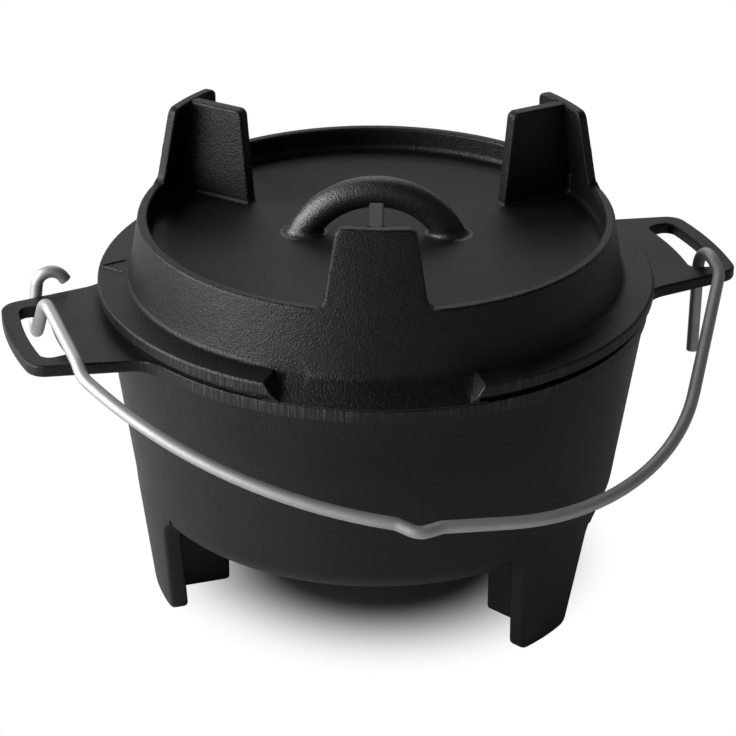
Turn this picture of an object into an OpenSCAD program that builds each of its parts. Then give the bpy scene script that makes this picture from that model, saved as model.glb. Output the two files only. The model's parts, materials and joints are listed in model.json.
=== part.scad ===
// Camp dutch oven: a footed pot, a footed lid with a coal ring, and a wire bail.
// Millimetres. It stands on z = 0, the pot's axis is the Z axis and the ears lie on the X axis.

/* [Pot] */
// Diameter over the rim band
rim_d = 265; // [235:1:320]
// Height of the rim band
rim_h = 6; // [4:0.5:10]
// How far the rim band stands out from the wall
rim_proud = 1; // [0.5:0.5:2]
// Height of the pot from its outer bottom to its rim
pot_h = 104.5; // [80:0.5:140]
// Draft of the wall from upright
wall_draft = 7.75; // [3:0.25:12]
// Wall thickness
wall_t = 5; // [4:0.5:7]
// Thickness of the pot's floor
floor_t = 6; // [4:0.5:10]
// Outer radius of the bottom corner
corner_r = 15; // [10:1:24]

/* [Pot legs] */
// Height of the legs under the pot
leg_h = 50.5; // [30:0.5:70]
// Width of a leg at its sole
leg_w = 34.5; // [24:0.5:44]
// Flare of a leg's sides towards the pot
leg_flare = 8.7; // [4:0.1:14]
// Draft of a leg's outside from upright
leg_draft = 7; // [2:0.25:8]
// How far the top of a leg stands out from the wall
leg_proud = 0.3; // [0.2:0.1:1]
// Thickness of a leg's outer plate
leg_t = 8.5; // [6:0.5:11]
// Rounding of the sole's corners
sole_r = 5; // [2:0.5:8]
// Fillet where a leg's side runs into the pot
leg_fillet = 12; // [6:0.5:16]
// Thickness of a leg's inner rib
rib_t = 7; // [5:0.5:10]
// Reach of the rib inside the plate
rib_reach = 27; // [12:1:34]
// Height of the rib's lower edge over the sole
rib_lift = 4; // [2:0.5:12]

/* [Ears] */
// Reach of an ear beyond the rim
ear_reach = 49; // [46:0.5:56]
// Thickness of an ear
ear_t = 6; // [5:0.5:7]
// Width of an ear across its tip
ear_w = 70; // [66:1:76]
// Taper of an ear's sides
ear_taper = 9.7; // [6:0.1:13]
// Rounding of an ear's tip corners
ear_corner = 10; // [6:0.5:13]
// Fillet where an ear's side runs into the rim
ear_fillet = 20; // [12:1:26]
// Distance from the rim to the slot
slot_in = 26.5; // [24:0.5:29]
// Width of the slot
slot_w = 14; // [12:0.5:15]
// Length of the slot along its middle
slot_len = 55; // [50:0.5:57]
// Rounding of the slot's corners
slot_r = 5; // [2:0.5:5.5]

/* [Lid] */
// Turn of the lid on the rim
lid_turn = -19; // [-60:1:60]
// Height of the coal ring's top over the rim
ring_up = 40; // [34:0.5:48]
// Thickness of the coal ring
ring_t = 5; // [4:0.5:7]
// Rounding of the coal ring's top edges and of the raised flange's edges
ring_round = 1.5; // [0.5:0.25:1.75]
// Fillet between the coal ring and the lid's floor
tray_fillet = 3; // [1:0.5:5]
// Draft of the coal ring's outside
ring_draft = 10.3; // [6:0.1:14]
// Radial width of the skirt outside the coal ring
skirt_w = 12.4; // [10:0.2:16]
// Height of the skirt's top over the rim
skirt_up = 10.2; // [8:0.2:14]
// Thickness of the skirt's edge at the lowered seat
seat_edge = 1; // [0.6:0.1:2]
// Angle of the lowered seat at the front
seat_deg = 37; // [26:0.5:56]
// Gap between the raised flange and the rim
lip_gap = 4.2; // [2:0.2:6]
// Overhang of the raised flange beyond the rim
lip_over = 2.5; // [0.5:0.5:5]
// Run of the slope at each end of the raised flange
ramp_w = 7.5; // [4:0.5:14]
// Length of the closed tab at each end of the gap under the flange
tab_w = 5; // [2:0.5:9]
// Width of the land on which the lid stands on the rim
land_w = 4; // [3:0.25:5]
// Depth of the coal tray under the ring's top
tray_deep = 11.5; // [8:0.5:16]
// Thickness of the lid's plate
lid_t = 6; // [4:0.5:8]
// Depth of the locating lip inside the rim
spigot_h = 4; // [2:0.5:8]
// Thickness of the locating lip
spigot_t = 5.5; // [4:0.5:8]
// Radial play of the locating lip in the pot
spigot_play = 1.2; // [0.5:0.1:2.5]

/* [Lid legs] */
// Height of a lid leg over the coal ring
foot_h = 37; // [24:0.5:50]
// Width of a lid leg at its top
foot_w = 35.2; // [26:0.2:44]
// Flare of a lid leg's sides towards the ring
foot_flare = 9; // [4:0.2:14]
// Lean of a lid leg's outside
foot_lean = 8.2; // [4:0.2:12]
// Thickness of a lid leg's plate
foot_t = 5; // [4:0.5:7]
// Rounding of a lid leg's top corners
foot_r = 4.5; // [2:0.5:7]
// Fillet where a lid leg's side runs into the ring
foot_fillet = 5; // [2:0.5:8]
// Thickness of a lid leg's inner stem
stem_t = 6.7; // [5:0.1:9]
// Reach of the stem inside the plate
stem_reach = 29; // [18:0.5:36]
// Draft of the stem's inner end
stem_draft = 5; // [0:0.5:8]
// Rounding of the stem's top corner
stem_r = 3.5; // [1.5:0.5:6]

/* [Lid handle] */
// Radius of the handle's arch along its middle
arch_r = 40; // [34:0.5:48]
// Height of the arch's middle over the tray
arch_up = 21.5; // [18:0.5:28]
// Diameter of the handle's bar
arch_d = 15; // [10:0.5:18]

/* [Bail] */
// Diameter of the bail's wire
wire_d = 6; // [4:0.25:7]
// Radius of the hooks along the wire's middle
hook_r = 11.25; // [11:0.25:12.5]
// Distance from a slot's inner edge to the middle of the wire in it
hook_seat = 5.8; // [5.2:0.1:7.5]
// Slope of the hanging bail below level
bail_tilt = 25; // [20:1:32]
// Lean of the left arm towards the pot
left_lean = 4; // [0:0.5:8]
// Steepness of the wire as it comes up through the left slot
left_climb = 55; // [45:1:65]
// Fall of the left arm over the ear
left_fall = 10; // [6:0.5:14]
// Bend radius over the left slot
left_over_r = 14; // [8:0.5:16]
// Bend radius past the left ear's edge
left_rest_r = 20; // [10:1:30]
// Gap between the resting wire and the left ear's edge
rest_gap = 0.5; // [0.3:0.1:1]
// Twist of the left hook's round part against its arm
left_twist = 13; // [0:1:24]
// Height of the left hook's straight end
left_end_h = 7.3; // [4:0.1:12]
// Radius of the curl on the left hook's end
curl_r = 7; // [5:0.5:9]
// Bend of the curl
curl_deg = 140; // [90:5:150]
// Length of the right hook's straight tail
tail_len = 46; // [20:1:60]
// Bend radius where the run leaves each arm
arm_r = 15; // [10:1:25]
// Straight length of the right arm
arm_len = 76; // [40:1:90]
// Straight length to the right of the dip
mid_len = 30; // [10:1:45]
// Radius of the bends in the middle dip
dip_r = 9; // [6:0.5:14]
// Straight length of each side of the dip
dip_len = 6; // [3:0.5:12]
// Straight length between one bend and the next
join_len = 2; // [1:0.5:4]

/* [Hidden] */
$fn = 64;
iron = "#3a3a3c";
lid_iron = "#47474a";
steel = "#b9bcc0";
far = 400;
// A bend is drawn a hair thinner than the straights and runs into them by a little
bend_slim = 0.04;
bend_lap = 0.2;

// Pot
rim_r = rim_d / 2;
rim_z = leg_h + pot_h;
drop = tan(wall_draft);
wall_top_r = rim_r - rim_proud;
function wall_r(z) = wall_top_r - (rim_z - rim_h - z) * drop;
function inner_r(z) = wall_r(z) - wall_t;
corner_in = corner_r - wall_t;
leg_top = leg_h + corner_r + 1;
function leg_r(z) = wall_r(leg_top) + leg_proud - (leg_top - z) * tan(leg_draft);
// Centre of a round corner between a level line at z and a wall line of radius r there
function corner_x(r, q) = r + q * drop - q / cos(wall_draft);

// Ears
ear_k = tan(ear_taper);
ear_q = sqrt(1 + ear_k * ear_k);
tip_r = rim_r + ear_reach;
ear_c = ear_w / 2 + ear_k * tip_r;
slot_ri = rim_r + slot_in;
slot_ro = slot_ri + slot_w;
slot_rm = slot_ri + slot_w / 2;
slot_a = slot_len / 2 / slot_rm * 180 / PI;
axis_z = rim_z - ear_t / 2;
// The point at distance r from the pot's axis, on the parallel to an ear's side that passes n from the axis
side_n = ear_c / ear_q;
function side_pt(n, r) = let (t = sqrt(r * r - n * n)) [(n * ear_k + t) / ear_q, (n - t * ear_k) / ear_q];
corner_c = side_pt(side_n - ear_corner, tip_r - ear_corner);
fillet_c = side_pt(side_n + ear_fillet, rim_r + ear_fillet);
side_dir = [ear_k, 1] / ear_q;

// Lid
skirt_r = rim_r - skirt_w;
ring_k = tan(ring_draft);
ring_q = sqrt(1 + ring_k * ring_k);
ring_r = skirt_r - (ring_up - skirt_up) * ring_k;
tray_up = ring_up - tray_deep;
spigot_r = inner_r(rim_z - spigot_h) - spigot_play;
lip_r = rim_r + lip_over;
land_r = spigot_r + land_w;
// Degrees by which the flange's ends run into the seat
flange_lap = 0.25;
// Depth of the seat's slope at the skirt, below the flange's top
seat_sink = 0.35;
function slope_up(r) = seat_edge + (rim_r - r) / skirt_w * (skirt_up - seat_edge);
foot_up = ring_up + foot_h;
foot_k = tan(foot_flare);
foot_q = sqrt(1 + foot_k * foot_k);
foot_in = tan(foot_lean);
foot_top_r = ring_r - foot_h * foot_in;
foot_base = foot_w / 2 + foot_h * foot_k;
stem_top = foot_top_r - foot_t - stem_reach;
// The stem ends a hair below the plate
stem_up = foot_up - 0.3;
stem_low = stem_top - (stem_up - tray_up) * tan(stem_draft);

// Bail: both hooks go round the bar between a slot's end and the ear's side
wire_r = wire_d / 2;
slot_end = slot_rm * sin(slot_a);
hook_x = sqrt(pow(slot_ri + hook_seat, 2) - pow(slot_end - wire_d, 2));
hook_y = (slot_end + ear_c - ear_k * hook_x) / 2;
left_p = [-hook_x, hook_y, axis_z];
right_p = [hook_x, -hook_y, axis_z];
left_f = [sin(left_lean), -cos(left_lean), 0];
up = [0, 0, 1];
edge_f = (ear_c - ear_k * hook_x + hook_y) / (cos(left_lean) - ear_k * sin(left_lean));
rest_f = edge_f + (wire_r + rest_gap) * sin(left_fall);
rest_u = ear_t / 2 + (wire_r + rest_gap) * cos(left_fall);
climb_f = rest_f - hook_r * sin(left_climb);
climb_u = rest_u + hook_r * cos(left_climb);
over_turn = left_climb + left_fall;
over_cut = left_over_r * tan(over_turn / 2);
climb_len = (climb_f * sin(left_fall) + climb_u * cos(left_fall)) / sin(over_turn) - over_cut;
over_len = (climb_f * sin(left_climb) - climb_u * cos(left_climb)) / sin(over_turn) - over_cut;
out_d = [0, -cos(bail_tilt), -sin(bail_tilt)];
right_j = right_p + hook_r * (sin(bail_tilt) * [0, -1, 0] + cos(bail_tilt) * up) + join_len * out_d;
function left_j(g) = left_p
    + (rest_f + left_rest_r * (sin(g) - sin(left_fall)) + join_len * cos(g)) * left_f
    + (rest_u - left_rest_r * (cos(left_fall) - cos(g)) - join_len * sin(g)) * up;
function across(g) = let (v = right_j - left_j(g)) v - (v * out_d) * out_d;
// Slope at which the left arm lies in the plane of the run, found by repeating the step
function slope_of(g) = let (n = cross(out_d, across(g))) atan((left_f * n) / n[2]);
function settle(i, g) = i == 0 ? g : settle(i - 1, slope_of(g));
left_tilt = settle(12, bail_tilt);
left_end = left_j(left_tilt);
span = norm(across(left_tilt));
out_s = across(left_tilt) / span;
out_n = cross(out_d, out_s);
reach = (right_j - left_end) * out_d;
left_dir = cos(left_tilt) * left_f - sin(left_tilt) * up;
head_0 = atan2(left_dir * out_s, left_dir * out_d);
// Headings of the run in its plane, from straight out to straight back
head_1 = 29;
head_2 = 67.5;
head_3 = 50;
head_4 = 98;
head_5 = 83;
head_6 = 149;
// Displacement of a bend of radius 1 between two headings, along and across the arms
function bend_by(a, b) = sign(b - a) * [sin(b) - sin(a), cos(a) - cos(b)];
function line_by(h) = [cos(h), sin(h)];
fixed = arm_r * (bend_by(head_0, head_1) + bend_by(head_6, 180))
      + dip_r * (bend_by(head_2, head_3) + bend_by(head_3, head_4) + bend_by(head_4, head_5))
      + dip_len * (line_by(head_3) + line_by(head_4)) + arm_len * line_by(head_6)
      + mid_len * line_by(head_5)
      + join_len * (line_by(head_0) + line_by(head_1) + line_by(head_2) + line_by(180));
goal = [reach, span] - fixed;
run_a = bend_by(head_1, head_2);
run_b = bend_by(head_5, head_6);
run_det = run_a[0] * run_b[1] - run_a[1] * run_b[0];
run_left_r = (goal[0] * run_b[1] - goal[1] * run_b[0]) / run_det;
run_right_r = (run_a[0] * goal[1] - run_a[1] * goal[0]) / run_det;

// Points on an arc, and a half outline's other side
function arc(c, r, a, b, n = 8) = [for (i = [0 : n]) c + r * [cos(a + (b - a) * i / n), sin(a + (b - a) * i / n)]];
function mirrored(list) = [for (i = [len(list) - 1 : -1 : 0]) [-list[i][0], list[i][1]]];

// An outline given across and up, carried along X
module across_x() {
    translate([1, 0, 0])
        rotate([90, 0, 90])
            linear_extrude(far)
                children();
}

// A wire along X that takes a list of [straight, radius, turn] in the XY plane, with children at its end
module bend(r, a) {
    if (a < 0) {
        mirror([0, 1, 0]) bend(r, -a);
    } else {
        lap = bend_lap / r * 180 / PI;
        translate([0, r, 0])
            rotate([0, 0, -90 - lap])
                rotate_extrude(angle = a + 2 * lap)
                    translate([r, 0])
                        circle(d = wire_d - bend_slim);
    }
}

module wire(list, i = 0) {
    if (i < len(list)) {
        l = list[i][0];
        r = list[i][1];
        a = list[i][2];
        if (l > 0) rotate([0, 90, 0]) cylinder(d = wire_d, h = l);
        translate([l, 0, 0]) {
            if (a != 0) bend(r, a);
            translate([r * sin(abs(a)), sign(a) * r * (1 - cos(a)), 0])
                rotate([0, 0, a])
                    wire(list, i + 1) children();
        }
    } else {
        children();
    }
}

// Pot
module pot_outside() {
    cx = corner_x(wall_r(leg_h), corner_r);
    rotate_extrude() {
        polygon([[0, leg_h],
                 [cx, leg_h],
                 [cx + corner_r * cos(wall_draft), leg_h + corner_r - corner_r * sin(wall_draft)],
                 [wall_top_r, rim_z - rim_h],
                 [wall_top_r, rim_z],
                 [0, rim_z]]);
        translate([cx, leg_h + corner_r]) circle(r = corner_r);
        translate([0, rim_z - rim_h]) square([rim_r, rim_h]);
    }
}

module pot_inside() {
    z = leg_h + floor_t;
    cx = corner_x(inner_r(z), corner_in);
    rotate_extrude() {
        polygon([[0, z],
                 [cx, z],
                 [cx + corner_in * cos(wall_draft), z + corner_in - corner_in * sin(wall_draft)],
                 [inner_r(rim_z + 5), rim_z + 5],
                 [0, rim_z + 5]]);
        translate([cx, z + corner_in]) circle(r = corner_in);
    }
}

module pot_body() {
    color(iron)
        difference() {
            pot_outside();
            pot_inside();
        }
}

// One half of an ear's outline, on the side of +Y
module ear_half() {
    corner_t = corner_c + ear_corner * side_dir;
    fillet_t = fillet_c - ear_fillet * side_dir;
    fillet_m = fillet_c * rim_r / norm(fillet_c);
    inside = rim_r - wall_t;
    intersection() {
        circle(r = tip_r);
        polygon([[0, 0], [far, 0], corner_c * far / norm(corner_c)]);
    }
    translate(corner_c) circle(r = ear_corner);
    polygon([[inside / 2, 0], [corner_c[0], 0], corner_c, corner_t, fillet_t, [inside / 2, fillet_t[1]]]);
    difference() {
        polygon([[inside / 2, fillet_t[1] - 1], [fillet_t[0], fillet_t[1] - 1], fillet_t, fillet_c, fillet_m,
                 [inside / 2, fillet_m[1]]]);
        translate(fillet_c) circle(r = ear_fillet);
    }
}

module slot_part(a, inset) {
    intersection() {
        difference() {
            circle(r = slot_ro - inset);
            circle(r = slot_ri + inset);
        }
        polygon([[0, 0], [far, -far * tan(a)], [far, far * tan(a)]]);
    }
}

module slot() {
    a_in = slot_a - asin(slot_r / (slot_ri + slot_r));
    a_out = slot_a - asin(slot_r / (slot_ro - slot_r));
    slot_part(slot_a, slot_r);
    slot_part(a_in, 0);
    for (s = [-1, 1]) {
        rotate(s * a_in) translate([slot_ri + slot_r, 0]) circle(r = slot_r);
        rotate(s * a_out) translate([slot_ro - slot_r, 0]) circle(r = slot_r);
    }
}

module ear() {
    difference() {
        translate([0, 0, rim_z - ear_t])
            linear_extrude(ear_t)
                difference() {
                    union() {
                        ear_half();
                        mirror([0, 1]) ear_half();
                    }
                    slot();
                }
        pot_outside();
    }
}

module ear_right() {
    color(iron) ear();
}

module ear_left() {
    color(iron) mirror([1, 0, 0]) ear();
}

// A pot leg on +X: a plate that carries the wall's outside down to the floor, and a rib inside it
function leg_side() = let (
    k = tan(leg_flare),
    q = sqrt(1 + k * k),
    c = [leg_w / 2 + sole_r * k - sole_r * q, sole_r],
    z = leg_h + 8 - leg_fillet * sin(120 - leg_flare),
    f = [leg_w / 2 + z * k + leg_fillet * q, z],
    e = f + leg_fillet * [cos(120 - leg_flare), sin(120 - leg_flare)])
    concat(arc(c, sole_r, -90, -leg_flare), arc(f, leg_fillet, 180 - leg_flare, 120 - leg_flare),
           [[e[0], leg_top + 5]]);

module pot_leg() {
    side = leg_side();
    rib_x = leg_r(rib_lift) - leg_t;
    difference() {
        union() {
            intersection() {
                rotate([0, 0, -35])
                    rotate_extrude(angle = 70)
                        polygon([[leg_r(0), 0], [leg_r(leg_top), leg_top], [leg_r(leg_top) - leg_t, leg_top],
                                 [leg_r(0) - leg_t, 0]]);
                across_x() polygon(concat(side, mirrored(side)));
            }
            translate([0, rib_t / 2, 0])
                rotate([90, 0, 0])
                    linear_extrude(rib_t)
                        polygon([[rib_x + leg_t / 3, rib_lift],
                                 [rib_x - rib_reach, rib_lift],
                                 [rib_x - rib_reach, leg_h + floor_t / 2],
                                 [rib_x + leg_t / 3, leg_h + floor_t / 2]]);
        }
        pot_outside();
    }
}

module pot_leg_left() {
    color(iron) rotate([0, 0, 180]) pot_leg();
}

module pot_leg_front() {
    color(iron) rotate([0, 0, -60]) pot_leg();
}

module pot_leg_back() {
    color(iron) rotate([0, 0, 60]) pot_leg();
}

// Lid, drawn with one lid leg on -Y and z = 0 at the rim, then turned and lifted to its place
module on_pot() {
    translate([0, 0, rim_z]) rotate([0, 0, lid_turn]) children();
}

module lid_core() {
    rotate_extrude()
        polygon([[0, tray_up - lid_t],
                 [skirt_r - (tray_up - lid_t - skirt_up) * ring_k - ring_t - 1, tray_up - lid_t],
                 [spigot_r - spigot_t, -spigot_h],
                 [spigot_r, -spigot_h],
                 [spigot_r, 0],
                 [land_r, 0],
                 [land_r, slope_up(land_r) - 1],
                 [skirt_r + 2 * ring_k, skirt_up - 2],
                 each arc([ring_r + ring_round * (ring_k - ring_q), ring_up - ring_round],
                          ring_round, ring_draft, 90, 5),
                 each arc([ring_r - ring_t + ring_round, ring_up - ring_round], ring_round, 90, 180, 5),
                 each arc([ring_r - ring_t - tray_fillet, tray_up + tray_fillet], tray_fillet, 0, -90, 6),
                 [0, tray_up]]);
}

// The seat's slope runs on under the flange's sloping ends
module lowered_seat() {
    run_on = (ramp_w + 1) / rim_r * 180 / PI;
    rotate([0, 0, -90 - seat_deg / 2 - run_on])
        rotate_extrude(angle = seat_deg + 2 * run_on)
            polygon([[spigot_r - 2, 0.2], [rim_r, 0.2], [rim_r, seat_edge],
                     [skirt_r - 0.5, slope_up(skirt_r - 0.5) - seat_sink], [skirt_r - 0.5, skirt_up - 4]]);
}

// The flange's end falls to the rim on a slope
module ramp_cut() {
    translate([0, 0.3, 0.3])
        rotate([-atan(ramp_w / skirt_up), 0, 0])
            translate([0, -60, -30])
                cube([far, 60, 90]);
}

module ramp_tab() {
    difference() {
        rotate_extrude(angle = tab_w / lip_r * 180 / PI)
            polygon([[spigot_r - 1, 0.3], [rim_r - 0.3, 0.3], [lip_r - 0.4, lip_gap], [lip_r - 0.4, lip_gap + 1],
                     [spigot_r - 1, lip_gap + 1]]);
        ramp_cut();
    }
}

module raised_flange() {
    arc = 360 - seat_deg + 2 * flange_lap;
    rotate([0, 0, -90 + seat_deg / 2 - flange_lap]) {
        difference() {
            rotate_extrude(angle = arc)
                polygon([[spigot_r - 2, lip_gap],
                         each arc([lip_r - ring_round / 2, lip_gap + ring_round / 2], ring_round / 2, -90, 0, 3),
                         each arc([lip_r - ring_round, skirt_up - ring_round], ring_round, 0, 90, 5),
                         [skirt_r - 0.5, skirt_up], [skirt_r - 0.5, skirt_up - 4]]);
            ramp_cut();
            rotate([0, 0, arc]) mirror([0, 1, 0]) ramp_cut();
        }
        ramp_tab();
        rotate([0, 0, arc]) mirror([0, 1, 0]) ramp_tab();
    }
}

module lid_body() {
    color(lid_iron)
        on_pot() {
            lid_core();
            lowered_seat();
            raised_flange();
        }
}

// A lid leg on +X: a plate that carries the ring's outside up, and a stem inside it
function foot_side() = let (
    u = ring_up + foot_fillet - 0.3,
    f = [foot_base - (u - ring_up) * foot_k + foot_fillet * foot_q, u],
    c = [foot_w / 2 + foot_r * foot_k - foot_r * foot_q, foot_up - foot_r])
    concat([[f[0] - 3, ring_up - 2]], arc(f, foot_fillet, 270, 180 + foot_flare), arc(c, foot_r, foot_flare, 90));

module lid_leg() {
    d = tan(stem_draft);
    c = [stem_top - stem_r * d + stem_r * sqrt(1 + d * d), stem_up - stem_r];
    side = foot_side();
    difference() {
        union() {
            intersection() {
                rotate([0, 0, -35])
                    rotate_extrude(angle = 70)
                        polygon([[ring_r + 2 * foot_in, ring_up - 2], [foot_top_r, foot_up],
                                 [foot_top_r - foot_t, foot_up], [ring_r + 2 * foot_in - foot_t, ring_up - 2]]);
                across_x() polygon(concat(side, mirrored(side)));
            }
            translate([0, stem_t / 2, 0])
                rotate([90, 0, 0])
                    linear_extrude(stem_t)
                        polygon(concat([[stem_low, tray_up],
                                        [ring_r - foot_t / 2, tray_up],
                                        [ring_r - foot_t / 2, ring_up],
                                        [foot_top_r - foot_t / 2, stem_up]],
                                       arc(c, stem_r, 90, 180 - stem_draft)));
        }
        lid_core();
    }
}

module lid_leg_front() {
    color(lid_iron) on_pot() rotate([0, 0, -90]) lid_leg();
}

module lid_leg_right() {
    color(lid_iron) on_pot() rotate([0, 0, 30]) lid_leg();
}

module lid_leg_left() {
    color(lid_iron) on_pot() rotate([0, 0, 150]) lid_leg();
}

module lid_handle() {
    color(lid_iron)
        on_pot()
            intersection() {
                translate([0, 0, tray_up + arch_up - arch_r])
                    rotate([90, 0, 0])
                        rotate_extrude()
                            translate([arch_r, 0])
                                circle(d = arch_d);
                translate([-far / 2, -far / 2, tray_up]) cube([far, far, far]);
            }
}

// Bail
module bail_run() {
    color(steel)
        multmatrix([[out_d[0], out_s[0], out_n[0], left_end[0]],
                    [out_d[1], out_s[1], out_n[1], left_end[1]],
                    [out_d[2], out_s[2], out_n[2], left_end[2]],
                    [0, 0, 0, 1]])
            rotate([0, 0, head_0])
                wire([[join_len, arm_r, head_1 - head_0],
                      [join_len, run_left_r, head_2 - head_1],
                      [join_len, dip_r, head_3 - head_2],
                      [dip_len, dip_r, head_4 - head_3],
                      [dip_len, dip_r, head_5 - head_4],
                      [mid_len, run_right_r, head_6 - head_5],
                      [arm_len, arm_r, 180 - head_6],
                      [join_len, 0, 0]]);
}

module bail_hook_left() {
    color(steel)
        translate(left_p)
            rotate([0, 0, left_lean - 90])
                rotate([90, 0, 0])
                    translate([hook_r * sin(left_climb), -hook_r * cos(left_climb), 0])
                        rotate([0, 0, left_climb]) {
                            wire([[climb_len, left_over_r, -over_turn],
                                  [over_len, left_rest_r, left_fall - left_tilt],
                                  [join_len, 0, 0]]);
                            rotate([left_twist, 0, 180])
                                wire([[0, hook_r, -90 - left_climb],
                                      [left_end_h, 0, 0]])
                                    rotate([-90, 0, 0])
                                        wire([[0, curl_r, curl_deg],
                                              [join_len, 0, 0]]);
                        }
}

module bail_hook_right() {
    color(steel)
        translate(right_p)
            rotate([0, 0, -90])
                rotate([90, 0, 0])
                    translate([hook_r * sin(bail_tilt) + join_len * cos(bail_tilt),
                               hook_r * cos(bail_tilt) - join_len * sin(bail_tilt), 0])
                        rotate([0, 0, 180 - bail_tilt])
                            wire([[join_len, hook_r, 90 + bail_tilt],
                                  [tail_len, 0, 0]]);
}

pot_body();
ear_left();
ear_right();
pot_leg_left();
pot_leg_front();
pot_leg_back();
lid_body();
lid_leg_front();
lid_leg_right();
lid_leg_left();
lid_handle();
bail_run();
bail_hook_left();
bail_hook_right();
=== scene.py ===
import json
import math

import bmesh
import bpy
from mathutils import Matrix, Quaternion, Vector
from mathutils.bvhtree import BVHTree


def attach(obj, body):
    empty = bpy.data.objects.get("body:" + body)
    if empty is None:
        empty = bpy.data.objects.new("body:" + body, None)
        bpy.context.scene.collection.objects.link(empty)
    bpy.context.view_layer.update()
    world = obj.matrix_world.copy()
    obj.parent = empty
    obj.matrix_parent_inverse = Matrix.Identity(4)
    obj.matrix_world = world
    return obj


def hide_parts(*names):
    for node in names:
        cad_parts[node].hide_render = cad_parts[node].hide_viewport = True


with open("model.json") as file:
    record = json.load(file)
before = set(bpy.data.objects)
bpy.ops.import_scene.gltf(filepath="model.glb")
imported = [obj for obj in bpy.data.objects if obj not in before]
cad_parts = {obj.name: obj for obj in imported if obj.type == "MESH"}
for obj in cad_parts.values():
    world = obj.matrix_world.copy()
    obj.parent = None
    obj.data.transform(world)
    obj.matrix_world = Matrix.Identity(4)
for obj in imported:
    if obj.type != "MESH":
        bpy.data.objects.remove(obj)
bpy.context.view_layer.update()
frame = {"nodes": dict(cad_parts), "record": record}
nodes = frame["nodes"]
bodies = frame["record"]["behaviour"]["bodies"]
print("frame loaded:", len(nodes), "nodes")


# cast pieces: soft edges, fillets at the feet and hollow corners, in metres
potBodyCast = {"body": "pot", "slot": "pot_iron", "round": 0.00045, "hollow": 0.00045}
earCast = {"body": "pot", "slot": "pot_iron", "round": 0.0012}
potLegCast = {"body": "pot", "slot": "pot_iron", "round": 0.0020, "tuck": "pot_body"}
lidBodyCast = {
    "body": "lid",
    "slot": "lid_iron",
    "round": 0.0007,
    "roundAbove": 0.1575,           # edges below this height stay as they are
    "hollow": 0.0020,
    "hollowAbove": 0.1646,
    "ramps": (-109.0, 18.5, 4.5),   # the lowered seat: middle, half width and spread of its ends, in degrees
}
lidLegCast = {"body": "lid", "slot": "lid_iron", "round": 0.0012, "fillet": 0.0022}
lidHandleCast = {"body": "lid", "slot": "lid_iron", "flare": 0.0030}
castings = {
    "pot_body": potBodyCast,
    "ear_left": earCast,
    "ear_right": earCast,
    "pot_leg_left": potLegCast,
    "pot_leg_front": potLegCast,
    "pot_leg_back": potLegCast,
    "lid_body": lidBodyCast,
    "lid_leg_front": lidLegCast,
    "lid_leg_right": lidLegCast,
    "lid_leg_left": lidLegCast,
    "lid_handle": lidHandleCast,
}
castRule = {
    "weld": 4e-6,                   # points closer than this are one point
    "flat": math.radians(0.05),     # faces that turn less than this are one face
    "touching": 0.00008,            # nodes of one casting closer than this are in contact
    "sharp": math.radians(42),      # edges that turn more than this are rounded
    "clear": 1.5,                   # roundings between a rounded edge and the rest of the casting
    "roundSteps": 3,                # faces across a rounding
    "crease": math.radians(38),     # edges that turn more than this stay creased in the shading
    "rampTop": 0.25,                # least upward normal of the seat's softly shaded ends
    "everywhere": -1,               # height below every edge
}
tuckRule = {
    "reach": 0.0009,                # points of a leg this close to the wall can be tucked in
    "proud": 0.00002,               # and are where they stand this far out of it
    "depth": 0.00008,               # how far they then lie under its skin
}
footRule = {
    "runsOn": 0.6,                  # cosine above which a face runs on into the casting, with no fillet
    "shortChain": 14,               # lines with no more points than this get no fillet
    "shortStep": 0.00015,           # steps shorter than this are left out of a line
}
filletRule = {
    "arcSteps": 5,                  # faces across a fillet
    "sunk": 0.0004,                 # depth of its hidden back
    "dip": 0.00003,                 # its edges lie this far under the skins that it joins
    "spread": 1.6,                  # most that its foot grows at a corner
    "turn": 0.5,                    # least cosine that counts at a corner
}
flareRule = {
    "cuts": (0.08, 0.2, 0.4, 0.65, 1.0),    # shares of the flare's height at which a foot is cut
    "cutWeld": 1e-7,
    "sole": 1e-5,                   # points this close to the lowest one are in the sole
}


def treeOf(names):
    points, faces = [], []
    for name in names:
        start = len(points)
        points += [v.co.copy() for v in nodes[name].data.vertices]
        faces += [[start + i for i in p.vertices] for p in nodes[name].data.polygons]
    return BVHTree.FromPolygons(points, faces)


def onRamp(point, ramps):
    # near either end of the lid's lowered seat
    if not ramps:
        return False
    front, half, spread = ramps
    turn = (math.degrees(math.atan2(point.y, point.x)) - front + 180) % 360 - 180
    return abs(abs(turn) - half) < spread


def roundEdges(bm, gap, size, above, hollow, ramps=None):
    # only edges well clear of the rest of the casting are rounded
    bm.normal_update()

    def wanted(edge):
        one, two = (v.co for v in edge.verts)
        if len(edge.link_faces) != 2 or edge.is_convex == hollow:
            return False
        if edge.calc_face_angle(0) <= castRule["sharp"] or min(one.z, two.z) <= above:
            return False
        return gap((one + two) / 2) > castRule["clear"] * size and not onRamp(one, ramps)

    chosen = [e for e in bm.edges if wanted(e)]
    if chosen:
        bmesh.ops.bevel(bm, geom=chosen, offset=size, offset_type="OFFSET", segments=castRule["roundSteps"],
                        profile=0.5, affect="EDGES", clamp_overlap=False)
        bmesh.ops.remove_doubles(bm, verts=bm.verts, dist=castRule["weld"])
    return len(chosen)


def tuckIn(bm, tree):
    # a leg's outer top edge goes just under the wall's skin, so that no ledge shows
    for vert in bm.verts:
        spot, facing, index, away = tree.find_nearest(vert.co)
        if away < tuckRule["reach"] and (vert.co - spot).dot(facing) > tuckRule["proud"]:
            vert.co = spot - facing * tuckRule["depth"]


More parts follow.
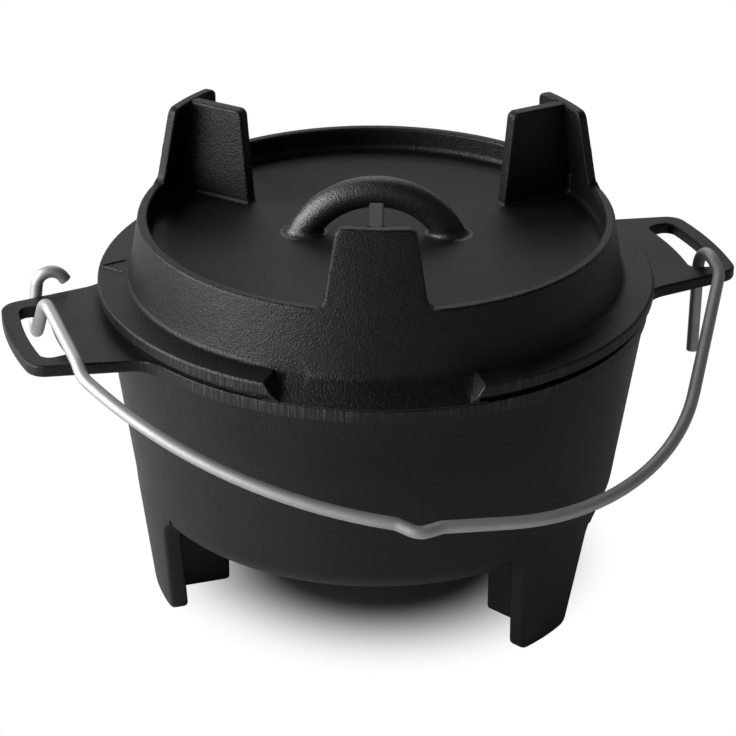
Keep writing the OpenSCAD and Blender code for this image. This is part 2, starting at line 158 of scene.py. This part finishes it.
def footSteps(bm, gap):
    # edges along which a free face meets the casting at a real angle, by their first point
    bm.normal_update()
    bm.verts.index_update()
    near = castRule["touching"]

    def touches(face):
        close = gap(face.calc_center_median()) < near
        return close and all(gap(v.co) < 2 * near for v in face.verts)

    inside = {f: touches(f) for f in bm.faces}
    steps = {}
    for edge in bm.edges:
        if len(edge.link_faces) != 2:
            continue
        one, two = edge.link_faces
        if inside[one] == inside[two]:
            continue
        free, under = (two, one) if inside[one] else (one, two)
        if free.normal.dot(-under.normal) > footRule["runsOn"]:
            continue
        for loop in free.loops:
            if loop.edge == edge:
                after = loop.link_loop_next.vert
                steps[loop.vert.index] = (loop.vert.co.copy(), after.index, after.co.copy(),
                                          free.normal.copy(), -under.normal)
    return steps


def footChains(bm, gap):
    # those edges joined into lines, each with the normals of the free face and of the casting
    steps = footSteps(bm, gap)
    chains = []
    while steps:
        ends = set(s[1] for s in steps.values())
        heads = [k for k in steps if k not in ends]
        at = min(heads) if heads else min(steps)
        first = at
        line, walls, grounds = [steps[at][0]], [], []
        while at in steps:
            here = steps.pop(at)
            line.append(here[2])
            walls.append(here[3])
            grounds.append(here[4])
            at = here[1]
        closed = at == first
        if closed:
            line.pop()
        chains.append({"line": line, "walls": walls, "grounds": grounds, "closed": closed})
    return [thinned(c) for c in chains if len(c["line"]) > footRule["shortChain"]]


def thinned(chain):
    # steps too short to sweep along are left out
    line, walls, grounds = chain["line"][:1], [], []
    for i in range(len(chain["walls"])):
        after = chain["line"][(i + 1) % len(chain["line"])]
        last = i == len(chain["walls"]) - 1
        if (after - line[-1]).length < footRule["shortStep"] and not last:
            continue
        walls.append(chain["walls"][i])
        grounds.append(chain["grounds"][i])
        if not (last and chain["closed"]):
            line.append(after)
    return {"line": line, "walls": walls, "grounds": grounds, "closed": chain["closed"]}


def sweepFillet(bm, chain, size):
    # a closed strip with a hollow face, swept along a line of the foot
    line, closed = chain["line"], chain["closed"]
    count = len(line)
    sunk, dip, arcSteps = filletRule["sunk"], filletRule["dip"], filletRule["arcSteps"]
    rings = []
    for i, corner in enumerate(line):
        sides = [i - 1, i] if closed else [j for j in (i - 1, i) if 0 <= j < count - 1]
        wall = sum((chain["walls"][j] for j in sides), Vector()).normalized()
        ground = sum((chain["grounds"][j] for j in sides), Vector()).normalized()
        up = (ground - wall * ground.dot(wall)).normalized()
        out = (wall - ground * wall.dot(ground)).normalized()
        spread = 1.0
        if len(sides) == 2:
            turn = max(filletRule["turn"], wall.dot(chain["walls"][sides[0]]))
            spread = min(filletRule["spread"], 1 / turn)
        top = corner + up * size
        foot = corner + out * size * spread
        ring = []
        for k in range(arcSteps + 1):
            t = k / arcSteps
            curve = top * (1 - t) ** 2 + corner * 2 * t * (1 - t) + foot * t ** 2
            ring.append(curve - (wall * (1 - t) + ground * t) * dip)
        ring.append(foot - ground * sunk)
        ring.append(corner - (wall + ground) * sunk)
        ring.append(top - wall * sunk)
        rings.append([bm.verts.new(p) for p in ring])
    made = []
    for a in range(count if closed else count - 1):
        b = (a + 1) % count
        for k in range(len(rings[0])):
            m = (k + 1) % len(rings[0])
            made.append(bm.faces.new((rings[a][k], rings[b][k], rings[b][m], rings[a][m])))
    if not closed:
        made.append(bm.faces.new(rings[0][::-1]))
        made.append(bm.faces.new(rings[-1]))
    bmesh.ops.recalc_face_normals(bm, faces=made)


def flareFeet(bm, size):
    # the handle's two feet spread out over the tray on a hollow curve
    base = min(v.co.z for v in bm.verts)
    for share in flareRule["cuts"]:
        bmesh.ops.bisect_plane(bm, geom=bm.verts[:] + bm.edges[:] + bm.faces[:], dist=flareRule["cutWeld"],
                               plane_co=(0, 0, base + size * share), plane_no=(0, 0, 1))
    for side in (-1, 1):
        low = [v for v in bm.verts if v.co.x * side > 0 and v.co.z < base + size]
        sole = [v.co for v in low if v.co.z < base + flareRule["sole"]]
        middle = sum(sole, Vector()) / len(sole)
        for vert in low:
            up = vert.co.z - base
            outward = Vector((vert.co.x - middle.x, vert.co.y - middle.y, 0))
            if outward.length > size:
                vert.co += outward.normalized() * (size - math.sqrt(size ** 2 - (size - up) ** 2))


def shadeCasting(bm, ramps):
    # smooth faces, creased only at real edges
    bm.normal_update()
    for face in bm.faces:
        face.smooth = True
    for edge in bm.edges:
        upward = all(f.normal.z > castRule["rampTop"] for f in edge.link_faces)
        soft = upward and onRamp(edge.verts[0].co, ramps)
        edge.smooth = soft or edge.calc_face_angle(0) < castRule["crease"]


def castPiece(name, setting):
    around = treeOf([n for n in bodies[setting["body"]] if n != name])
    ramps = setting.get("ramps")

    def gap(point):
        return around.find_nearest(point)[3]

    bm = bmesh.new()
    bm.from_mesh(nodes[name].data)
    bmesh.ops.remove_doubles(bm, verts=bm.verts, dist=castRule["weld"])
    bmesh.ops.dissolve_degenerate(bm, dist=castRule["weld"], edges=bm.edges)
    bmesh.ops.dissolve_limit(bm, angle_limit=castRule["flat"], verts=bm.verts, edges=bm.edges)
    rounded = hollowed = 0
    if "tuck" in setting:
        tuckIn(bm, treeOf([setting["tuck"]]))
    if "hollow" in setting:
        above = setting.get("hollowAbove", castRule["everywhere"])
        hollowed = roundEdges(bm, gap, setting["hollow"], above, True, ramps)
    if "round" in setting:
        above = setting.get("roundAbove", castRule["everywhere"])
        rounded = roundEdges(bm, gap, setting["round"], above, False)
    chains = footChains(bm, gap) if "fillet" in setting else []
    if "flare" in setting:
        flareFeet(bm, setting["flare"])
    for chain in chains:
        sweepFillet(bm, chain, setting["fillet"])
    bmesh.ops.triangulate(bm, faces=[f for f in bm.faces if len(f.verts) > 4])
    loose = sum(1 for e in bm.edges if len(e.link_faces) != 2)
    shadeCasting(bm, ramps)
    mesh = bpy.data.meshes.new(name + "_cast")
    bm.to_mesh(mesh)
    bm.free()
    piece = bpy.data.objects.new(name + "_cast", mesh)
    even = piece.modifiers.new("evenNormals", "WEIGHTED_NORMAL")
    even.keep_sharp = True
    bpy.context.scene.collection.objects.link(piece)
    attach(piece, setting["body"])
    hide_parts(name)
    print("cast", name, "rounded", rounded, "hollow", hollowed, "fillets", [len(c["line"]) for c in chains],
          "open edges", loose, "faces", len(mesh.polygons))
    return piece


pieces = {name: castPiece(name, setting) for name, setting in castings.items()}


# raised pointer on the lid's flange: two thin ridges that meet at its edge
pointer = {
    "tip": (0.1338, 161.8),                         # radius, degrees
    "ends": [(0.1222, 158.3), (0.1228, 165.2)],
    "top": 0.1652,                                  # height of the flange's top
    "width": 0.0011,
    "height": 0.0006,
    "sunk": 0.0004,
    "stations": (0.0, 0.1, 0.5, 0.85, 1.0),         # shares of a ridge's length
    "taper": (0.12, 0.76),                          # start and length of its width, in half waves
}


def castPointer():
    bm = bmesh.new()

    def onFlange(spot):
        turn = math.radians(spot[1])
        return Vector((spot[0] * math.cos(turn), spot[0] * math.sin(turn), pointer["top"]))

    tip = onFlange(pointer["tip"])
    sink = Vector((0, 0, -pointer["sunk"]))
    start, length = pointer["taper"]
    for spot in pointer["ends"]:
        run = onFlange(spot) - tip
        across = run.cross(Vector((0, 0, 1))).normalized() * pointer["width"]
        rings = []
        for share in pointer["stations"]:
            swell = math.sin(math.pi * (start + length * share)) ** 0.5
            middle = tip + run * share
            side = across * swell / 2
            crest = across * swell / 6
            rise = Vector((0, 0, pointer["height"] * swell))
            outline = [middle - side + sink, middle - side, middle - crest + rise,
                       middle + crest + rise, middle + side, middle + side + sink]
            rings.append([bm.verts.new(p) for p in outline])
        made = [bm.faces.new(rings[0]), bm.faces.new(rings[-1][::-1])]
        for one, two in zip(rings, rings[1:]):
            for k in range(len(one)):
                m = (k + 1) % len(one)
                made.append(bm.faces.new((one[k], one[m], two[m], two[k])))
        bmesh.ops.recalc_face_normals(bm, faces=made)
    mesh = bpy.data.meshes.new("lid_pointer")
    bm.to_mesh(mesh)
    bm.free()
    mesh.shade_smooth()
    mesh.set_sharp_from_angle(angle=castRule["crease"])
    piece = bpy.data.objects.new("lid_pointer", mesh)
    bpy.context.scene.collection.objects.link(piece)
    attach(piece, "lid")
    print("pointer on the lid's flange, faces", len(mesh.polygons))
    return piece


class Flow:
    # one output socket of a shader tree; maths on it adds Math nodes

    def __init__(self, tree, socket=None):
        self.tree = tree
        self.socket = socket

    def node(self, kind, settings=None, links=None, out=0):
        made = self.tree.nodes.new(kind)
        for name, value in (settings or {}).items():
            if name == "stops":
                ramp = made.color_ramp
                while len(ramp.elements) < len(value):
                    ramp.elements.new(0.5)
                for spot, (place, shade) in zip(ramp.elements, value):
                    spot.position = place
                    spot.color = grey(shade)
            else:
                setattr(made, name, value)
        for name, value in (links or {}).items():
            target = made.inputs[name]
            if isinstance(value, Flow):
                self.tree.links.new(value.socket, target)
            else:
                target.default_value = value
        return Flow(self.tree, made.outputs[out] if made.outputs else None)

    def maths(self, operation, first, second=0.0):
        return self.node("ShaderNodeMath", {"operation": operation}, {0: first, 1: second})

    def __add__(self, other):
        return self.maths("ADD", self, other)

    __radd__ = __add__

    def __sub__(self, other):
        return self.maths("SUBTRACT", self, other)

    def __rsub__(self, other):
        return self.maths("SUBTRACT", other, self)

    def __mul__(self, other):
        return self.maths("MULTIPLY", self, other)

    def __truediv__(self, other):
        return self.maths("DIVIDE", self, other)

    def __pow__(self, other):
        return self.maths("POWER", self, other)

    def step(self, low, high):
        # 0 below low, 1 above high, eased between
        return self.node("ShaderNodeMapRange", {"interpolation_type": "SMOOTHSTEP"},
                         {"Value": self, "From Min": low, "From Max": high})

    def stepFrom(self, start, width):
        # the same step, given by its start and its width
        return self.step(start, start + width)

    def split(self, count=3):
        # the first parts of a vector
        return [self.node("ShaderNodeSeparateXYZ", None, {"Vector": self}, out=i) for i in range(count)]


def grey(value):
    return (value, value, value, 1)


def startMaterial(name):
    material = bpy.data.materials.new(name)
    material.use_nodes = True
    tree = material.node_tree
    tree.nodes.clear()
    return material, Flow(tree)


def closeMaterial(flow, settings):
    shader = flow.node("ShaderNodeBsdfPrincipled", None, settings)
    flow.node("ShaderNodeOutputMaterial", None, {"Surface": shader})


def mixColour(flow, share, first, second):
    return flow.node("ShaderNodeMix", {"data_type": "RGBA"}, {0: share, 6: first, 7: second}, out=2)


def objectPlace(flow):
    # a node's object sits at the origin, so this is the place in the part's frame
    return flow.node("ShaderNodeTexCoord", out=3)


def noiseOf(flow, place, scale, detail=2.0, rough=0.5):
    return flow.node("ShaderNodeTexNoise", None,
                     {"Vector": place, "Scale": scale, "Detail": detail, "Roughness": rough})


# black cast iron; lengths in metres, so 1 / size gives a noise scale
iron = {
    "deep": 0.0012,                 # colour in the hollows of the grain
    "high": 0.0095,                 # colour on the grain's tops
    "grainSize": 0.00078,
    "pitSize": 0.0032,
    "pitBlend": 0.6,
    "swellSize": 0.018,
    "patchSize": 0.055,
    "grainSpan": (0.3, 0.7),        # noise values between which the colour changes
    "patchSpan": (0.35, 0.7),
    "shares": (0.6, 0.4),           # of grain and patches in the colour
    "heights": (0.75, 0.25, 0.5),   # of grain, pits and swell in the relief
    "relief": {"pot": 0.00042, "lid": 0.00052},
    "bump": 0.9,
    "roughness": 0.44,
    "roughSpread": (0.16, 0.20),    # by patches and by grain
    "specular": 0.34,
    "handled": 1.00,                # specular level of the lid handle, rubbed smooth by gloves
}
# lands that a grinder has gone over, with upright marks
rimLand = {
    "low": 0.1487,
    "top": 0.1553,
    "radius": 0.1312,
    "reach": 0.1331,
    "bright": 0.080,
    "markSize": 0.0011,
}
flangeLand = {
    "low": 0.1590,
    "top": 0.1650,
    "radius": 0.1344,
    "reach": 0.1362,
    "bright": 0.045,
    "markSize": 0.0013,
}
landRule = {
    "edge": 0.0004,                 # width over which a land fades out
    "stretch": 40,                  # noise scale along the marks
    "markSpan": (0.42, 0.75),
    "gapSize": 0.045,               # size of the stretches with and without marks
    "gapSpan": (0.3, 0.65),
    "smooth": 0.7,                  # share of the cast grain that is ground off
    "height": 0.5,                  # share of the marks in the relief
}
# inside of the pot, painted a lighter grey as painted fill light, since little light gets in
potInsidePaintedFill = {
    "radius": 0.1278,
    "floor": 0.0545,
    "edge": 0.001,
    "upward": 0.5,                  # share of a face's upward part in its facing inward
    "inward": (0.1, 0.3),
    "colour": 0.026,
}
# the lid's floor, cast smoother and duller than the rest
trayFloor = {
    "radius": 0.103,
    "radiusEdge": 0.004,
    "top": 0.1865,
    "topEdge": 0.001,
    "smooth": 0.6,
    "dull": 0.12,
}


def onTray(radius, z, tray):
    within = 1 - radius.step(tray["radius"] - tray["radiusEdge"], tray["radius"])
    below = 1 - z.step(tray["top"] - tray["topEdge"], tray["top"])
    return within * below


def onInside(flow, x, y, z, radius, inside):
    # faces of the pot that look to its axis or up, inside the wall and above the floor's underside
    nx, ny, nz = flow.node("ShaderNodeNewGeometry", out=1).split()
    inward = (nz * inside["upward"] - (nx * x + ny * y) / radius).step(*inside["inward"])
    inward = inward * (1 - radius.stepFrom(inside["radius"], inside["edge"]))
    return inward * z.stepFrom(inside["floor"], inside["edge"])


def onLand(radius, z, land):
    edge = landRule["edge"]
    outside = radius.step(land["radius"] - edge, land["radius"])
    above = z.stepFrom(land["low"], edge)
    below = 1 - z.step(land["top"] - edge, land["top"])
    within = 1 - radius.stepFrom(land["reach"], edge)
    return outside * above * below * within


def castIron(name, body, land, tray=None, inside=None, specular=iron["specular"]):
    material, flow = startMaterial(name)
    place = objectPlace(flow)
    x, y, z = place.split()
    radius = (x * x + y * y) ** 0.5

    grain = noiseOf(flow, place, 1 / iron["grainSize"], 1.5)
    pits = flow.node("ShaderNodeTexVoronoi", {"feature": "SMOOTH_F1"},
                     {"Vector": place, "Scale": 1 / iron["pitSize"], "Smoothness": iron["pitBlend"]})
    swell = noiseOf(flow, place, 1 / iron["swellSize"], 1.0)
    patch = noiseOf(flow, place, 1 / iron["patchSize"], 3.0, 0.6)

    grainShare, patchShare = iron["shares"]
    shade = grain.step(*iron["grainSpan"]) * grainShare + patch.step(*iron["patchSpan"]) * patchShare
    colour = mixColour(flow, shade, grey(iron["deep"]), grey(iron["high"]))
    byPatch, byGrain = iron["roughSpread"]
    roughness = iron["roughness"] + (patch - 0.5) * byPatch + (grain - 0.5) * byGrain
    grainHeight, pitHeight, swellHeight = iron["heights"]
    rise = grain * grainHeight + pits * pitHeight

    if tray:
        floor = onTray(radius, z, tray)
        rise = rise * (1 - floor * tray["smooth"])
        roughness = roughness + floor * tray["dull"]
    # the pot's inside is painted a lighter grey: painted fill light where little light gets in
    if inside:
        paintedFillLight = onInside(flow, x, y, z, radius, inside)
        colour = mixColour(flow, paintedFillLight, colour, grey(inside["colour"]))

    # upright grinding marks
    angle = flow.maths("ARCTAN2", x, y * -1.0)
    across = angle * (land["radius"] / land["markSize"])
    along = flow.node("ShaderNodeCombineXYZ", None, {"X": across, "Y": z * landRule["stretch"]})
    marks = noiseOf(flow, along, 1.0, 3.0, 0.7).step(*landRule["markSpan"])
    streak = marks * noiseOf(flow, place, 1 / landRule["gapSize"], 1.0).step(*landRule["gapSpan"])
    mask = onLand(radius, z, land)
    colour = mixColour(flow, mask * streak, colour, grey(land["bright"]))
    rise = rise * (1 - mask * landRule["smooth"]) + streak * mask * landRule["height"]

    bump = flow.node("ShaderNodeBump", None,
                     {"Strength": iron["bump"], "Distance": iron["relief"][body],
                      "Height": rise + swell * swellHeight})
    closeMaterial(flow, {"Base Color": colour, "Roughness": roughness, "Normal": bump,
                         "Specular IOR Level": specular})
    return material


# satin steel wire
wire = {
    "colour": (0.52, 0.52, 0.51, 1),
    "dull": (0.37, 0.37, 0.37, 1),
    "markSize": 0.0009,
    "patchSize": 0.014,
    "markSpan": (0.3, 0.75),
    "patchSpan": (0.4, 0.7),
    "shares": (0.35, 0.3),          # of marks and patches in the dull colour
    "metallic": 0.85,
    "roughness": 0.58,
    "roughSpread": (0.16, 0.12),    # by marks and by patches
    "relief": 0.00003,
    "bump": 0.5,
}


def satinSteel(name):
    material, flow = startMaterial(name)
    place = objectPlace(flow)
    marks = noiseOf(flow, place, 1 / wire["markSize"], 3.0, 0.6)
    patch = noiseOf(flow, place, 1 / wire["patchSize"])
    markShare, patchShare = wire["shares"]
    shade = marks.step(*wire["markSpan"]) * markShare + patch.step(*wire["patchSpan"]) * patchShare
    colour = mixColour(flow, shade, wire["colour"], wire["dull"])
    byMarks, byPatch = wire["roughSpread"]
    roughness = wire["roughness"] + (marks - 0.5) * byMarks + (patch - 0.5) * byPatch
    bump = flow.node("ShaderNodeBump", None,
                     {"Strength": wire["bump"], "Distance": wire["relief"], "Height": marks})
    closeMaterial(flow, {"Base Color": colour, "Roughness": roughness, "Metallic": wire["metallic"],
                         "Normal": bump})
    return material


potIron = castIron("potIron", "pot", rimLand, inside=potInsidePaintedFill)
lidIron = castIron("lidIron", "lid", flangeLand, tray=trayFloor)
handleIron = castIron("handleIron", "pot", flangeLand, specular=iron["handled"])
bailSteel = satinSteel("bailSteel")
for name, piece in pieces.items():
    worn = handleIron if name == "lid_handle" else lidIron
    piece.data.materials.append(potIron if castings[name]["body"] == "pot" else worn)
castPointer().data.materials.append(lidIron)
for name in bodies["bail"]:
    nodes[name].data.materials.clear()
    nodes[name].data.materials.append(bailSteel)
print("materials on", len(nodes), "nodes")


# camera, at the photograph's angle, with a lens fitted to a 736 x 736 image
eye = {
    "place": (-0.35471, -1.03016, 0.65793),
    "aim": (-0.00888, -0.01537, 0.11887),
    "roll": 0.451,                  # degrees
    "lens": 120.0,
    "sensor": 36.0,
    "nearest": 0.05,
}


def setCamera():
    data = bpy.data.cameras.new("eye")
    data.lens = eye["lens"]
    data.sensor_width = eye["sensor"]
    data.clip_start = eye["nearest"]
    camera = bpy.data.objects.new("eye", data)
    ahead = Vector(eye["aim"]) - Vector(eye["place"])
    turn = ahead.to_track_quat("-Z", "Y") @ Quaternion((0, 0, 1), math.radians(eye["roll"]))
    camera.location = eye["place"]
    camera.rotation_mode = "QUATERNION"
    camera.rotation_quaternion = turn
    bpy.context.scene.collection.objects.link(camera)
    bpy.context.scene.camera = camera


# studio: pale floor with a painted shadow under the pot, surround that is brighter at the back, and soft
# lamps
surround = {
    "back": (-0.62, 0.78),          # heading of the brighter half
    "turn": (-0.5, 0.6),            # between front and back
    "frontShare": 0.16,
    # brightness by height, as mirrored in the part and as light on it
    "mirrored": [(0.0, 0.7), (0.15, 0.55), (0.45, 0.37), (0.72, 0.36), (0.88, 0.08), (1.0, 0.01)],
    "ambient": [(0.0, 0.06), (0.4, 0.15), (0.8, 0.32), (1.0, 0.36)],
}
stageFloor = {
    "pale": 0.55,
    "paintedShadow": 0.07,                   # painted shadow, the floor's colour close under the pot
    "under": (0.008, 0.012),        # middle of that painted shadow
    "shadow": (0.056, 0.124),       # radii between which the painted shadow fades and the floor turns white
    "far": (2.0, 4.0),              # radii between which it does so in reflections
    "reach": 6.0,
}
# place, size and power of each
lamps = {
    "key": ((-1.32, -0.22, 0.50), 1.1, 19.0),
    "high": ((-1.20, 0.50, 0.80), 0.8, 14.0),
    "back": ((0.33, 0.98, 1.20), 0.9, 3.2),
}
lampAim = (0, 0, 0.1)


def rayKinds(flow):
    # whether the camera sees a point directly, and whether it sees it in or through something
    seen, glossy, through = (flow.node("ShaderNodeLightPath", out=kind)
                             for kind in ("Is Camera Ray", "Is Glossy Ray", "Is Transmission Ray"))
    return seen, glossy + through


def setSurround():
    world = bpy.data.worlds.new("surround")
    world.use_nodes = True
    world.node_tree.nodes.clear()
    flow = Flow(world.node_tree)
    seen, mirrored = rayKinds(flow)
    x, y, height = flow.node("ShaderNodeTexCoord", out=0).split()

    def byHeight(stops):
        return flow.node("ShaderNodeValToRGB", {"stops": stops}, {"Fac": height})

    backX, backY = surround["back"]
    behind = (x * backX + y * backY).step(*surround["turn"])
    share = surround["frontShare"] + behind * (1 - surround["frontShare"])
    mirrored = flow.maths("MINIMUM", mirrored, 1.0)
    lit = mirrored * share * byHeight(surround["mirrored"]) + (1 - mirrored) * byHeight(surround["ambient"])
    sky = flow.node("ShaderNodeBackground", None, {"Color": grey(1.0), "Strength": seen + (1 - seen) * lit})
    flow.node("ShaderNodeOutputWorld", None, {"Surface": sky})
    world.cycles.sampling_method = "NONE"
    bpy.context.scene.world = world


def floorWithPaintedShadow():
    material, flow = startMaterial("paleFloor")
    seen, mirrored = rayKinds(flow)
    x, y = objectPlace(flow).split(2)
    x = x - stageFloor["under"][0]
    y = y - stageFloor["under"][1]
    away = (x * x + y * y) ** 0.5
    # the floor's colour is painted dark close under the pot, a painted shadow that fades out to the pale
    # colour and, for the camera, to white
    clear = away.step(*stageFloor["shadow"])
    white = flow.maths("MINIMUM", seen * clear + mirrored * away.step(*stageFloor["far"]), 1.0)
    paintedShadow = flow.node("ShaderNodeBsdfDiffuse", None, {"Color": grey(stageFloor["paintedShadow"])})
    pale = flow.node("ShaderNodeBsdfDiffuse", None, {"Color": grey(stageFloor["pale"])})
    paint = flow.node("ShaderNodeMixShader", None, {0: clear, 1: paintedShadow, 2: pale})
    blank = flow.node("ShaderNodeEmission", None, {"Color": grey(1.0), "Strength": 1.0})
    both = flow.node("ShaderNodeMixShader", None, {0: white, 1: paint, 2: blank})
    flow.node("ShaderNodeOutputMaterial", None, {"Surface": both})
    return material


def setFloor():
    reach = stageFloor["reach"]
    corners = [(-reach, -reach, 0), (reach, -reach, 0), (reach, reach, 0), (-reach, reach, 0)]
    mesh = bpy.data.meshes.new("floor")
    mesh.from_pydata(corners, [], [(0, 1, 2, 3)])
    floor = bpy.data.objects.new("floor", mesh)
    floor.data.materials.append(floorWithPaintedShadow())
    bpy.context.scene.collection.objects.link(floor)


def setLamps():
    for name, (place, size, power) in lamps.items():
        data = bpy.data.lights.new(name, "AREA")
        data.shape = "DISK"
        data.size = size
        data.energy = power
        lamp = bpy.data.objects.new(name, data)
        lamp.location = place
        lamp.rotation_mode = "QUATERNION"
        lamp.rotation_quaternion = (Vector(lampAim) - Vector(place)).to_track_quat("-Z", "Y")
        bpy.context.scene.collection.objects.link(lamp)


setCamera()
setSurround()
setFloor()
setLamps()
bpy.context.scene.view_settings.view_transform = "Standard"
print("camera, floor and lamps set")
